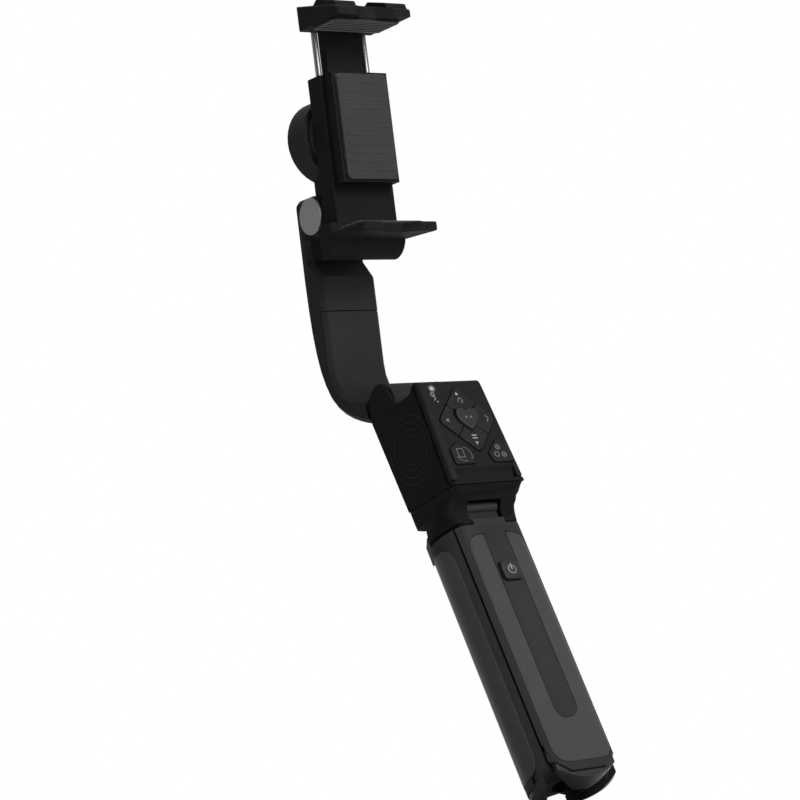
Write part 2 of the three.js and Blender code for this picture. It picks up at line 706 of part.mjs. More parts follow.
// The arm is wider than its knuckle, which has to pass between the ears of the head
function besideKnuckle() {
  const left = cylinder("x", 9.4, -20, -KNUCKLE_HALF, FOLD.y, FOLD.z, 36);
  const right = cylinder("x", 9.4, KNUCKLE_HALF, 20, FOLD.y, FOLD.z, 36);
  return left.add(right);
}

function armParts() {
  const whole = extrudeX(armProfile(), -ARM_HALF, ARM_HALF, 1.5, 6).subtract(besideKnuckle());
  const fork = box([-6.4, 6.4], [15, 45], [62, 90]);
  const foldBore = cylinder("x", 1.8, -20, 20, FOLD.y, FOLD.z, 20);
  const tiltBore = cylinder("x", 1.7, -20, 20, TILT.y, TILT.z, 20);
  const groove = box([-3.4, 3.4], [28, 33], [15, 50]);
  const below = box([-20, 20], [-10, 60], [-20, SEAM]);
  const above = box([-20, 20], [-10, 60], [SEAM + 0.3, 90]);
  const cuts = fork.add(foldBore).add(tiltBore).add(coverLayer(FIT)).add(groove);
  return {
    frame: whole.subtract(cuts),
    lower: whole.intersect(coverLayer(0)).intersect(below),
    upper: whole.intersect(coverLayer(0)).intersect(above),
  };
}

const armPieces = armParts();
add(arm, "arm_frame", "shell", armPieces.frame);
add(arm, "arm_lower_cover", "shell", armPieces.lower);
add(arm, "arm_upper_cover", "shell", armPieces.upper);
add(arm, "arm_cable", "copper", box([-3, 3], [31.5, 32.3], [16, 49.5]));
add(arm, "tilt_pin", "steel", cylinder("x", 1.55, -12, 12, TILT.y, TILT.z, 20));
add(arm, "tilt_cap_left", "steel", cylinder("x", 6.7, -ARM_HALF - 1.2, -ARM_HALF - 0.2, TILT.y, TILT.z, 32));
add(arm, "tilt_cap_right", "steel", cylinder("x", 6.7, ARM_HALF + 0.2, ARM_HALF + 1.2, TILT.y, TILT.z, 32));

// ---------------------------------------------------------------- roll motor

const MOTOR = { shell: 15.4, bore: 13.4, front: 23.4, back: 34, floor: 32 };

function motorHousing() {
  const can = cylinder("y", MOTOR.shell, MOTOR.front, MOTOR.back, 0, ROLL_Z, 40);
  const neck = box([-6.1, 6.1], [25.5, MOTOR.back - 0.2], [TILT.z, ROLL_Z - 8]);
  const tongueEye = cylinder("x", 7.2, -6.1, 6.1, TILT.y, TILT.z, 32);
  const bore = cylinder("y", MOTOR.bore, 0, MOTOR.floor, 0, ROLL_Z, 40);
  const boss = cylinder("y", 5.5, 25.4, MOTOR.floor + 1, 0, ROLL_Z);
  const seat = cylinder("y", 4.05, 0, 31, 0, ROLL_Z);
  const pin = cylinder("x", 1.7, -12, 12, TILT.y, TILT.z, 20);
  return can.add(neck).add(tongueEye).subtract(bore).add(boss).subtract(seat).subtract(pin);
}

function motorBell() {
  const plate = cylinder("y", 12.9, 22.4, 24.2, 0, ROLL_Z, 40);
  const boss = cylinder("y", 6, BODY_BACK + RUN, 23, 0, ROLL_Z);
  const ring = tube(12.9, 11.2, 24, 31.4, "y", 0, ROLL_Z);
  return plate.add(boss).add(ring).subtract(cylinder("y", 1.7, 0, 60, 0, ROLL_Z, 20));
}

add(arm, "motor_housing", "shell", motorHousing());
add(arm, "motor_stator", "copper", tube(10.6, 5.7, 25.6, 31, "y", 0, ROLL_Z));
add(arm, "motor_bearing", "steel", tube(3.95, 1.75, 26, 30.6, "y", 0, ROLL_Z));
add(arm, "motor_bell", "steel", motorBell());
add(arm, "motor_shaft", "steel", cylinder("y", 1.6, BODY_BACK + RUN + 0.2, 30.8, 0, ROLL_Z, 20));

// ---------------------------------------------------------------- phone clamp

const BODY_TOP = ROLL_Z + 20;
const SPRING = { x: 10.6, y: 16.3, rod: 1.15, bore: 1.95 };

// Wide foot of the clamp body below the lower jaw, rounded under its front edge
function lowerHousing() {
  const low = ROLL_Z - 45.5;
  const radius = BODY_BACK - BODY_FRONT;
  const shape = new THREE.Shape();
  shape.moveTo(BODY_FRONT, ROLL_Z - 33.5);
  shape.lineTo(BODY_FRONT, low + radius);
  shape.absarc(BODY_BACK, low + radius, radius, Math.PI, Math.PI * 1.5, false);
  shape.lineTo(BODY_BACK, ROLL_Z - 33.5);
  shape.closePath();
  return extrudeX(shape, -JAW_HALF, JAW_HALF, 0, 8);
}

function clampBody() {
  const slab = box([-13, 13], [BODY_FRONT, BODY_BACK], [ROLL_Z - 37.5, BODY_TOP]);
  const boss = box([-12, 12], [6.6, BODY_FRONT + 1], [ROLL_Z - 20, BODY_TOP]);
  const stemSlot = box([-8.3, 8.3], [13.9, 18.6], [ROLL_Z - 24, BODY_TOP + 5]);
  let solid = slab.add(boss).add(lowerHousing()).subtract(stemSlot);
  for (const x of [-SPRING.x, SPRING.x])
    solid = solid.subtract(cylinder("z", SPRING.bore, ROLL_Z - 24, BODY_TOP + 5, x, SPRING.y, 20));
  return solid;
}

// Trapezoid notch between the two fingers of a jaw
function notch() {
  const shape = polygon([[-8.5, LIP - 0.1], [8.5, LIP - 0.1], [3.5, LIP + 4.2], [-3.5, LIP + 4.2]]);
  return extrudeZ(shape, 0, 200);
}

function lowerJaw() {
  const top = ROLL_Z - PHONE_HALF - 1.3;
  const shape = rounded(
    [[LIP, top - 3.4], [BODY_FRONT - RUN, top - 2.6], [BODY_FRONT - RUN, top], [LIP, top]],
    0.8,
  );
  return extrudeX(shape, -JAW_HALF, JAW_HALF, 0.5, 3).subtract(notch());
}

function upperJaw() {
  const low = ROLL_Z + PHONE_HALF + 1.3;
  const back = 17.8;
  const plate = polygon([[LIP, low], [back, low], [back, low + 9.2], [LIP + 2, low + 3.9], [LIP, low + 2.6]]);
  const ridge = rounded(
    [[LIP + 0.8, low + 1], [8, low + 1], [8, low + 7], [5.5, low + 8.6], [LIP + 2, low + 5.4]],
    0.8,
  );
  return extrudeX(plate, -JAW_HALF, JAW_HALF, 0.5, 3)
    .add(extrudeX(ridge, -JAW_HALF + 0.6, -6.6, 0, 3))
    .add(extrudeX(ridge, 6.6, JAW_HALF - 0.6, 0, 3))
    .subtract(notch())
    .add(box([-8, 8], [14.2, back], [ROLL_Z - 8, low + 2]));
}

function jawPad(side) {
  const near = ROLL_Z + side * (PHONE_HALF + 0.25);
  const far = ROLL_Z + side * (PHONE_HALF + 1.2);
  const shape = roundedBox(-14.4, 14.4, LIP + 4.8, 11.6, 1.5);
  return extrudeZ(shape, Math.min(near, far), Math.max(near, far));
}

function spring(x) {
  const turns = 7;
  const bottom = ROLL_Z - 22;
  const top = BODY_TOP - 1.5;
  const points = [];
  for (let i = 0; i <= turns * 8; i++) {
    const angle = (i / 8) * 2 * Math.PI;
    const z = bottom + ((top - bottom) * i) / (turns * 8);
    points.push(new THREE.Vector3(x + 1.55 * Math.cos(angle), SPRING.y + 1.55 * Math.sin(angle), z));
  }
  const wire = new THREE.Shape().absarc(0, 0, 0.22, 0, 2 * Math.PI, false);
  const geometry = new THREE.ExtrudeGeometry(wire, {
    steps: turns * 8,
    extrudePath: new THREE.CatmullRomCurve3(points),
    curveSegments: 3,
    bevelEnabled: false,
  });
  return toSolid(geometry);
}

function guideRod(x) {
  return cylinder("z", SPRING.rod, ROLL_Z - 5, ROLL_Z + PHONE_HALF + 1, x, SPRING.y, 16);
}

add(arm, "clamp_body", "shell", clampBody());
add(arm, "clamp_pad", "rubber", extrudeY(roundedBox(-11, 11, ROLL_Z - 19, BODY_TOP - 1, 2), 5.1, 6.5));
add(arm, "lower_jaw", "shell", lowerJaw());
add(arm, "lower_jaw_pad", "rubber", jawPad(-1));
add(arm, "upper_jaw", "shell", upperJaw());
add(arm, "upper_jaw_pad", "rubber", jawPad(1));
add(arm, "clamp_spring_left", "steel", spring(-SPRING.x));
add(arm, "clamp_spring_right", "steel", spring(SPRING.x));
add(arm, "guide_rod_left", "steel", guideRod(-SPRING.x));
add(arm, "guide_rod_right", "steel", guideRod(SPRING.x));

// From the middle of the bounding box back to the pole's axis
const POLE_Y = 13.64;
part.position.y = POLE_Y;

export default part;
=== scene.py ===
"""Looks of a handheld phone gimbal.

Finishes on the CAD pieces, rings on the head's sides, printed signs, screws, port contacts and grip ribs.
Lengths are in millimetres, in the pole-axis frame, until new_piece() turns them into metres of the row frame.
"""

import math

import bmesh
import bpy
from mathutils import Matrix, Vector


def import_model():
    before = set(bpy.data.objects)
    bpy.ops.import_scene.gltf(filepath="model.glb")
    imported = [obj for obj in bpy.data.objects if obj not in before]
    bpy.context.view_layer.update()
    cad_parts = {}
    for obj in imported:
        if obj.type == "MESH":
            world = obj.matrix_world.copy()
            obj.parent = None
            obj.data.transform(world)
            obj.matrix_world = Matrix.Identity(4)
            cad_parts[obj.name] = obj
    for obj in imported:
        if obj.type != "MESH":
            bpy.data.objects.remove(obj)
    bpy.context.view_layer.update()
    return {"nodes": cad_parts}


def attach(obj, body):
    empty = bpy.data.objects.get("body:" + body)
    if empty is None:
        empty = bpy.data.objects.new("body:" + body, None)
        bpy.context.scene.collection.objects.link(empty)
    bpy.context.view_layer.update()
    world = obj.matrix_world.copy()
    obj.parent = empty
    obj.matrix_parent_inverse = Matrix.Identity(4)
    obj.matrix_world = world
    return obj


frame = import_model()
NODES = frame["nodes"]
MM = 0.001

# Frames in which pieces are drawn, in millimetres
POLE = Vector((0, 13.64, 0))  # foot of the pole's axis
LEAN = math.radians(23.3)  # backward lean of the arm
HINGE = POLE + Vector((0, 4.3, 154.2))  # fold axis of the arm, on the head
FOLD_IN_ARM = Vector((0, 0.65, -1.26))  # the same axis in the arm's own frame
TILT_IN_ARM = Vector((0, 28.5, 70.8))
ROLL_Z = 98.7  # height of the roll axis in the arm's frame
ROW = Matrix.Translation(POLE)
ARM = Matrix.Translation(HINGE) @ Matrix.Rotation(LEAN, 4, "X") @ Matrix.Translation(-FOLD_IN_ARM)

# Measures that the new pieces are fitted to, in millimetres
PHONE_HALF = 35.75  # half the opening of the clamp
PANEL_DEPTH = 18.8  # faces that the signs lie on, in front of the pole's axis
KEY_DEPTH = 19.25
MODE_DEPTH = 19.4
CENTRE_DEPTH = 20.3
POWER_DEPTH = 12.4

# ---------------------------------------------------------------- materials


class Nodes:
    """A short way to add and join shader nodes."""

    def __init__(self, name):
        self.material = bpy.data.materials.new(name)
        self.material.use_nodes = True
        self.tree = self.material.node_tree
        self.tree.nodes.clear()
        self.out = self.add("ShaderNodeOutputMaterial")
        self.coords = self.add("ShaderNodeTexCoord").outputs["Object"]

    def add(self, kind, **inputs):
        node = self.tree.nodes.new(kind)
        for name, value in inputs.items():
            self.put(node, name.replace("_", " "), value)
        return node

    def put(self, node, name, value):
        socket = node.inputs[name]
        if isinstance(value, bpy.types.NodeSocket):
            self.tree.links.new(value, socket)
        else:
            socket.default_value = value

    def noise(self, scale, detail=2.0, rough=0.5, vector=None):
        node = self.add("ShaderNodeTexNoise", Scale=scale, Detail=detail, Roughness=rough)
        self.put(node, "Vector", vector or self.coords)
        return node.outputs["Fac"]

    def ramp(self, value, stops):
        node = self.tree.nodes.new("ShaderNodeValToRGB")
        node.color_ramp.elements[0].position = stops[0][0]
        node.color_ramp.elements[1].position = stops[-1][0]
        for position, _ in stops[1:-1]:
            node.color_ramp.elements.new(position)
        for element, (_, colour) in zip(node.color_ramp.elements, stops):
            element.color = (*colour, 1) if len(colour) == 3 else colour
        self.put(node, "Fac", value)
        return node.outputs["Color"]

    def spread(self, value, low, high):
        node = self.add("ShaderNodeMapRange")
        self.put(node, "Value", value)
        self.put(node, "To Min", low)
        self.put(node, "To Max", high)
        return node.outputs["Result"]

    def stretch(self, x, y, z):
        node = self.add("ShaderNodeMapping")
        self.put(node, "Vector", self.coords)
        self.put(node, "Scale", (x, y, z))
        return node.outputs["Vector"]

    def bump(self, height, strength, distance):
        node = self.add("ShaderNodeBump", Strength=strength, Distance=distance)
        self.put(node, "Height", height)
        return node.outputs["Normal"]

    def paint_edge_highlight(self, colour, edge, amount):
        """Lets the colour go towards `edge` along sharp convex edges: a painted highlight on the bevels."""
        pointiness = self.add("ShaderNodeNewGeometry").outputs["Pointiness"]
        factor = self.ramp(pointiness, [(0.505, (0, 0, 0)), (0.56, (amount,) * 3)])
        mix = self.tree.nodes.new("ShaderNodeMix")
        mix.data_type = "RGBA"
        self.tree.links.new(factor, mix.inputs[0])
        self.tree.links.new(colour, mix.inputs[6])
        mix.inputs[7].default_value = (*edge, 1)
        return mix.outputs[2]

    def shader(self, **inputs):
        bsdf = self.tree.nodes.new("ShaderNodeBsdfPrincipled")
        for name, value in inputs.items():
            self.put(bsdf, name.replace("_", " "), value)
        self.tree.links.new(bsdf.outputs[0], self.out.inputs[0])
        return self.material


def grey(level, tint=1.0):
    return (level, level, level * tint)


def shade(colour, factor):
    return tuple(c * factor for c in colour)


def moulded(name, base, rough=0.52, grain=0.35, grain_size=0.16, shine=0.06):
    """Moulded plastic with a fine spark-eroded grain, a slow drift of tone and sharp convex edges painted a
    little paler as a highlight.
    """
    n = Nodes(name)
    drift = n.noise(55, 3)
    colour = n.ramp(drift, [(0.3, shade(base, 0.88)), (0.7, shade(base, 1.12))])
    # painted highlight: sharp convex edges are painted paler than the base colour
    colour = n.paint_edge_highlight(colour, shade(base, 2.0), 0.5)
    fine = n.noise(1 / (grain_size * MM), 3, 0.6)
    patches = n.spread(n.noise(240, 4), rough - 0.05, rough + 0.07)
    normal = n.bump(fine, grain, 0.00006)
    return n.shader(Base_Color=colour, Roughness=patches, Normal=normal, Specular_IOR_Level=shine)


def rubber(name, base, rough=0.72):
    """Soft-touch rubber: a dull, slightly sheeny skin with a velvety grain."""
    n = Nodes(name)
    drift = n.noise(70, 4)
    colour = n.ramp(drift, [(0.3, shade(base, 0.9)), (0.7, shade(base, 1.1))])
    grain = n.noise(9000, 2, 0.7)
    normal = n.bump(grain, 0.3, 0.00005)
    roughness = n.spread(n.noise(300, 3), rough - 0.06, rough + 0.06)
    return n.shader(
        Base_Color=colour,
        Roughness=roughness,
        Normal=normal,
        Sheen_Weight=0.55,
        Sheen_Roughness=0.4,
    )


def metal(name, base, rough, stretch=(400, 400, 400), strength=0.15):
    """Metal with fine tool marks stretched along one direction."""
    n = Nodes(name)
    marks = n.noise(1.0, 3, 0.6, n.stretch(*stretch))
    colour = n.ramp(marks, [(0.3, shade(base, 0.86)), (0.7, shade(base, 1.05))])
    roughness = n.spread(marks, rough - 0.06, rough + 0.1)
    normal = n.bump(marks, strength, 0.00003)
    return n.shader(Base_Color=colour, Roughness=roughness, Metallic=1.0, Normal=normal)


def turned(name, base, rough, centre, axis):
    """Metal faced on a lathe: fine rings round an axis through `centre`."""
    n = Nodes(name)
    offset = n.add("ShaderNodeVectorMath")
    offset.operation = "SUBTRACT"
    n.put(offset, 0, n.coords)
    offset.inputs[1].default_value = centre
    cross = n.add("ShaderNodeVectorMath")
    cross.operation = "CROSS_PRODUCT"
    n.put(cross, 0, offset.outputs[0])
    cross.inputs[1].default_value = axis
    length = n.add("ShaderNodeVectorMath")
    length.operation = "LENGTH"
    n.put(length, 0, cross.outputs[0])
    line = n.add("ShaderNodeCombineXYZ", X=length.outputs["Value"])
    rings = n.noise(9000, 2, 0.6, line.outputs[0])
    colour = n.ramp(rings, [(0.25, shade(base, 0.85)), (0.75, shade(base, 1.05))])
    roughness = n.spread(rings, rough - 0.05, rough + 0.12)
    normal = n.bump(rings, 0.2, 0.00003)
    return n.shader(Base_Color=colour, Roughness=roughness, Metallic=0.85, Normal=normal)


def circuit(name):
    """Green solder mask with paler copper runs under it."""
    n = Nodes(name)
    bricks = n.add("ShaderNodeTexBrick", Scale=330.0, Mortar_Size=0.018, Row_Height=0.35)
    n.put(bricks, "Vector", n.stretch(1, 1, 1))
    n.put(bricks, "Color1", (0.01, 0.09, 0.035, 1))
    n.put(bricks, "Color2", (0.012, 0.11, 0.04, 1))
    n.put(bricks, "Mortar", (0.05, 0.25, 0.1, 1))
    normal = n.bump(bricks.outputs["Fac"], 0.4, 0.00005)
    return n.shader(Base_Color=bricks.outputs["Color"], Roughness=0.35, Normal=normal)


def windings(name):
    """Enamelled copper wire wound in close turns."""
    n = Nodes(name)
    wave = n.add("ShaderNodeTexWave", Scale=900.0, Distortion=0.6, Detail=1.0)
    n.put(wave, "Vector", n.coords)
    colour = n.ramp(wave.outputs["Fac"], [(0.2, (0.12, 0.03, 0.01)), (0.8, (0.55, 0.22, 0.08))])
    normal = n.bump(wave.outputs["Fac"], 0.6, 0.0001)
    return n.shader(Base_Color=colour, Roughness=0.32, Metallic=0.9, Normal=normal)


def wrap(name):
    """Shrink wrap round the cell, with faint creases."""
    n = Nodes(name)
    creases = n.noise(260, 5, 0.65, n.stretch(1, 1, 0.2))
    colour = n.ramp(creases, [(0.3, (0.02, 0.06, 0.14)), (0.7, (0.035, 0.09, 0.2))])
    return n.shader(Base_Color=colour, Roughness=0.3, Coat_Weight=0.4, Normal=n.bump(creases, 0.3, 0.0003))


def print_ink(name, base):
    """Printed sign: slightly uneven ink."""
    n = Nodes(name)
    drift = n.noise(2500, 3)
    colour = n.ramp(drift, [(0.3, shade(base, 0.85)), (0.7, base)])
    return n.shader(Base_Color=colour, Roughness=0.6, Normal=n.bump(drift, 0.15, 0.00002))


def lens(name):
    """Light guide of the status light, glowing faintly."""
    n = Nodes(name)
    colour = n.ramp(n.noise(900, 2), [(0.3, (0.4, 0.42, 0.44)), (0.7, (0.5, 0.52, 0.55))])
    material = n.shader(Base_Color=colour, Roughness=0.2, Coat_Weight=0.6)
    bsdf = n.tree.nodes["Principled BSDF"]
    n.put(bsdf, "Emission Color", (0.9, 0.95, 1, 1))
    n.put(bsdf, "Emission Strength", 0.08)
    return material


HEAD_SKIN = moulded("head_plastic", grey(0.0095, 1.02), rough=0.5)
LEG_SKIN = moulded("leg_plastic", grey(0.031, 1.02))
ARM_SKIN = moulded("arm_plastic", grey(0.026, 1.02), rough=0.5)
PANEL_SKIN = moulded("panel_plastic", grey(0.0150, 1.02), rough=0.5, grain=0.45)
KEY_SKIN = moulded("key_plastic", grey(0.019, 1.02), rough=0.44, grain=0.3)
HEART_SKIN = moulded("heart_plastic", grey(0.024, 1.02), rough=0.4, grain=0.2, shine=0.3)
CLAMP_SKIN = moulded("clamp_plastic", grey(0.0125, 1.02), rough=0.5)
PAD = rubber("pad_rubber", grey(0.042, 1.02))
SOLE = rubber("sole_rubber", grey(0.013), rough=0.6)
GRIP = rubber("grip_rubber", grey(0.022), rough=0.7)
PIN = metal("pin_steel", grey(0.12), 0.45, (9000, 300, 300))
STEEL = metal("plain_steel", grey(0.5), 0.3, (1500, 1500, 1500))
TUBE = metal("tube_steel", grey(0.62), 0.2, (3000, 3000, 40), 0.08)
TILT_AT = ARM @ TILT_IN_ARM * MM
CAP = turned("cap_metal", grey(0.50), 0.42, TILT_AT, (1, 0, 0))
ROLL_AT = ARM @ Vector((0, 22, ROLL_Z)) * MM
ROLL_AXIS = ARM.to_3x3() @ Vector((0, 1, 0))
BELL = turned("bell_metal", grey(0.35), 0.35, ROLL_AT, ROLL_AXIS)
BOARD = circuit("solder_mask")
COPPER = windings("copper_wire")
CELL = wrap("cell_wrap")
INK = print_ink("white_ink", grey(0.45))
FAINT_INK = print_ink("grey_ink", grey(0.2))
LENS = lens("light_guide")

# ---------------------------------------------------------------- finish of the CAD pieces


def smoothing_group():
    """Shades smooth, except across edges sharper than the angle given."""
    tree = bpy.data.node_groups.new("smooth_by_angle", "GeometryNodeTree")
    tree.interface.new_socket("Geometry", in_out="INPUT", socket_type="NodeSocketGeometry")
    tree.interface.new_socket("Geometry", in_out="OUTPUT", socket_type="NodeSocketGeometry")
    start = tree.nodes.new("NodeGroupInput")
    end = tree.nodes.new("NodeGroupOutput")
    faces = tree.nodes.new("GeometryNodeSetShadeSmooth")
    edges = tree.nodes.new("GeometryNodeSetShadeSmooth")
    edges.domain = "EDGE"
    edges.inputs["Shade Smooth"].default_value = False
    angle = tree.nodes.new("GeometryNodeInputMeshEdgeAngle")
    sharper = tree.nodes.new("FunctionNodeCompare")
    sharper.data_type = "FLOAT"
    sharper.operation = "GREATER_THAN"
    sharper.inputs["B"].default_value = math.radians(32)
    link = tree.links.new
    link(start.outputs[0], faces.inputs["Geometry"])
    link(faces.outputs[0], edges.inputs["Geometry"])
    link(angle.outputs["Unsigned Angle"], sharper.inputs["A"])
    link(sharper.outputs[0], edges.inputs["Selection"])
    link(edges.outputs[0], end.inputs[0])
    return tree


SMOOTHING = smoothing_group()


def soften(obj, bevel, segments=2, angle=32):
    """Welds the facets, rounds the edges by `bevel` millimetres and smooths the shading."""
    weld = obj.modifiers.new("weld", "WELD")
    weld.merge_threshold = 0.000004
    flat = obj.modifiers.new("flat", "DECIMATE")
    flat.decimate_type = "DISSOLVE"
    flat.angle_limit = math.radians(0.6)
    if bevel:
        edge = obj.modifiers.new("bevel", "BEVEL")
        edge.width = bevel * MM
        edge.segments = segments
        edge.limit_method = "ANGLE"
        edge.angle_limit = math.radians(angle)
        edge.use_clamp_overlap = True
        edge.miter_outer = "MITER_ARC"
    smooth = obj.modifiers.new("smooth", "NODES")
    smooth.node_group = SMOOTHING
    weighted = obj.modifiers.new("weighted", "WEIGHTED_NORMAL")
    weighted.keep_sharp = True


def dress(names, material, bevel, segments=2):
    for name in names:
        obj = NODES[name]
        obj.data.materials.clear()
        obj.data.materials.append(material)
        soften(obj, bevel, segments)


dress(["neck_collar", "head_housing", "head_back_cover"], HEAD_SKIN, 0.35)
dress(["front_leg", "left_leg", "right_leg"], LEG_SKIN, 0.3)
dress(["front_leg_pad", "left_leg_pad", "right_leg_pad"], PAD, 0.25)
dress(["front_foot", "left_foot", "right_foot"], SOLE, 0.3)
dress(["power_button"], HEART_SKIN, 0.6, 4)
dress(["front_leg_pin", "left_leg_pin", "right_leg_pin", "fold_pin", "tilt_pin"], PIN, 0.15)
dress(["pole_tube_1", "pole_tube_2", "pole_tube_3", "pole_tube_4", "pole_tube_5"], TUBE, 0.12)
dress(["battery"], CELL, 1.2, 4)
dress(["main_board", "remote_board"], BOARD, 0.1)
dress(["usb_port", "coin_cell", "motor_shaft", "motor_bearing"], STEEL, 0.15)
dress(["guide_rod_left", "guide_rod_right", "clamp_spring_left", "clamp_spring_right"], STEEL, 0)
dress(["remote_shell"], PANEL_SKIN, 0.3, 3)
dress(["remote_back_cover"], HEAD_SKIN, 0.2)
dress(["key_mat"], GRIP, 0.2)
dress(["status_led"], LENS, 0.2)
dress(["up_key", "down_key", "left_key", "right_key"], KEY_SKIN, 0.16)
dress(["centre_button"], HEART_SKIN, 0.5, 4)
dress(["left_mode_button", "right_mode_button"], KEY_SKIN, 0.3, 3)
dress(["arm_frame"], ARM_SKIN, 0.35)
dress(["arm_lower_cover", "arm_upper_cover"], ARM_SKIN, 0.15)
dress(["arm_cable", "motor_stator"], COPPER, 0.15)
dress(["tilt_cap_left", "tilt_cap_right"], CAP, 0.3, 3)
dress(["motor_housing"], ARM_SKIN, 0.6, 3)
dress(["motor_bell"], BELL, 0.3)
dress(["clamp_body", "upper_jaw", "lower_jaw"], CLAMP_SKIN, 0.5, 3)
dress(["clamp_pad", "lower_jaw_pad", "upper_jaw_pad"], GRIP, 0.3)

# ---------------------------------------------------------------- building in mesh code


def new_piece(name, bm, material, body, place=ROW):
    """Makes an object from a mesh in millimetres of the frame `place`, and rides it on a body."""
    bmesh.ops.recalc_face_normals(bm, faces=bm.faces)
    mesh = bpy.data.meshes.new(name)
    bm.to_mesh(mesh)
    bm.free()
    mesh.transform(Matrix.Scale(MM, 4) @ place)
    mesh.materials.append(material)
    obj = bpy.data.objects.new(name, mesh)
    bpy.context.scene.collection.objects.link(obj)
    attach(obj, body)
    return obj


def prism(bm, outline, low, high):
    """Extrudes a closed outline on the plane of the buttons between two depths."""
    bottom = [bm.verts.new(on_front(u, v, low)) for u, v in outline]
    top = [bm.verts.new(on_front(u, v, high)) for u, v in outline]
    bm.faces.new(bottom)
    bm.faces.new(top)
    count = len(outline)
    for i in range(count):
        j = (i + 1) % count
        bm.faces.new((bottom[i], bottom[j], top[j], top[i]))


def on_front(u, v, depth):
    """The plane of the buttons: u is x, v is z, and depth grows towards the front."""
    return (u, -depth, v)


def stroke(points, width, closed=False):
    """Outlines of a line of constant width through the points, one four-sided outline per segment."""
    pairs = list(zip(points, points[1:]))
    if closed:
        pairs.append((points[-1], points[0]))
    outlines = []
    for (x0, y0), (x1, y1) in pairs:
        length = math.hypot(x1 - x0, y1 - y0)
        ux, uy = (x1 - x0) / length, (y1 - y0) / length
        h = width / 2
        overlap = h * 0.6
        x0, y0, x1, y1 = x0 - ux * overlap, y0 - uy * overlap, x1 + ux * overlap, y1 + uy * overlap
        outlines.append(
            [
                (x0 - uy * h, y0 + ux * h),
                (x0 + uy * h, y0 - ux * h),
                (x1 + uy * h, y1 - ux * h),
                (x1 - uy * h, y1 + ux * h),
            ]
        )
    return outlines


def circle(cx, cy, radius, count=24, start=0.0, sweep=360.0):
    step = math.radians(sweep) / (count if sweep >= 360 else count - 1)
    first = math.radians(start)
    return [
        (cx + radius * math.cos(first + i * step), cy + radius * math.sin(first + i * step))
        for i in range(count)
    ]


def join_loops(bm, loops):
    """A closed ring from loops of points: each loop is joined to the next, and the last to the first."""
    rings = [[bm.verts.new(point) for point in loop] for loop in loops]
    for a, b in zip(rings, rings[1:] + rings[:1]):
        for i in range(len(a)):
            j = (i + 1) % len(a)
            bm.faces.new((a[i], a[j], b[j], b[i]))


def band(bm, inner, outer, low, high):
    """A flat ring between two outlines on the plane of the buttons."""
    corners = ((inner, low), (outer, low), (outer, high), (inner, high))
    join_loops(bm, [[on_front(u, v, depth) for u, v in outline] for outline, depth in corners])


INK_ROOT = 0.03  # how deep a sign reaches under its face
INK_RISE = 0.05  # and how far it stands proud


def sign(name, shapes, depth, body, material=INK, rings=()):
    """A printed sign on a flat face at `depth`, from closed outlines and rings."""
    bm = bmesh.new()
    for shape in shapes:
        prism(bm, shape, depth - INK_ROOT, depth + INK_RISE)
    for cx, cy, radius, width in rings:
        inner = circle(cx, cy, radius - width / 2, 32)
        outer = circle(cx, cy, radius + width / 2, 32)
        band(bm, inner, outer, depth - INK_ROOT, depth + INK_RISE)
    new_piece(name, bm, material, body)


def bar(bm, x, y, z):
    """A plain block between the given ranges."""
    corners = [(x[i], y[j], z[k]) for i in (0, 1) for j in (0, 1) for k in (0, 1)]
    verts = [bm.verts.new(corner) for corner in corners]
    for quad in ((0, 1, 3, 2), (4, 6, 7, 5), (0, 4, 5, 1), (2, 3, 7, 6), (0, 2, 6, 4), (1, 5, 7, 3)):
        bm.faces.new([verts[i] for i in quad])


# ---------------------------------------------------------------- head: rings on both sides

HEAD_TOP = 148.8
CHIN_TOP = 109
HALF_AT_TOP = 13.4
HALF_AT_CHIN = 15.1
RING_CENTRE = (-3.4, 130.2)  # y and z
RING_RADII = (5.0, 7.1, 9.5, 12.1)
RING_SECTION = ((-0.24, -0.05), (-0.1, 0.07), (0.1, 0.07), (0.24, -0.05))  # offset outwards, height


def side_half(z):
    """Half width of the tapered head at a height."""
    return HALF_AT_TOP + (HEAD_TOP - z) / (HEAD_TOP - CHIN_TOP) * (HALF_AT_CHIN - HALF_AT_TOP)


def side_ring(name, side, radius):
    """A low rib that lies on the tapered side of the head."""
    bm = bmesh.new()
    count = 96
    loops = []
    for outwards, lift in RING_SECTION:
        line = circle(*RING_CENTRE, radius + outwards, count)
        loops.append([(side * (side_half(z) + lift), y, z) for y, z in line])
    join_loops(bm, loops)
    obj = new_piece(name, bm, KEY_SKIN, "head")
    for polygon in obj.data.polygons:
        polygon.use_smooth = True


for k, ring_radius in enumerate(RING_RADII):
    side_ring(f"side_ring_left_{k + 1}", -1, ring_radius)
    side_ring(f"side_ring_right_{k + 1}", 1, ring_radius)

# ---------------------------------------------------------------- screws, port tongue and grip ribs


def screw(name, point, normal, radius, body):
    """Head of a socket screw on a surface point: a chamfered rim round a hexagonal recess."""
    place = Matrix.Translation(point) @ Vector(normal).to_track_quat("Z", "Y").to_matrix().to_4x4()
    bm = bmesh.new()
    count = 36
    rings = []
    for outer, height in ((1.0, -0.1), (1.0, 0.16), (0.86, 0.3)):
        rings.append([Vector((u, v, height)) for u, v in circle(0, 0, radius * outer, count)])
    for height in (0.3, -0.1):
        hexagon = []
        for i in range(count):
            a = 2 * math.pi * i / count
            flat = math.cos(math.pi / 6) / math.cos((a % (math.pi / 3)) - math.pi / 6)
            reach = 0.52 * radius * flat
            hexagon.append(Vector((reach * math.cos(a), reach * math.sin(a), height)))
        rings.append(hexagon)
    join_loops(bm, rings)
    obj = new_piece(name, bm, STEEL, body, place)
    soften(obj, 0)


COVER = {"y": 10.2, "z": 120, "slope": 1.9 / 26}  # a point on the head's back cover, and its lean
SCREW_R = 1.3


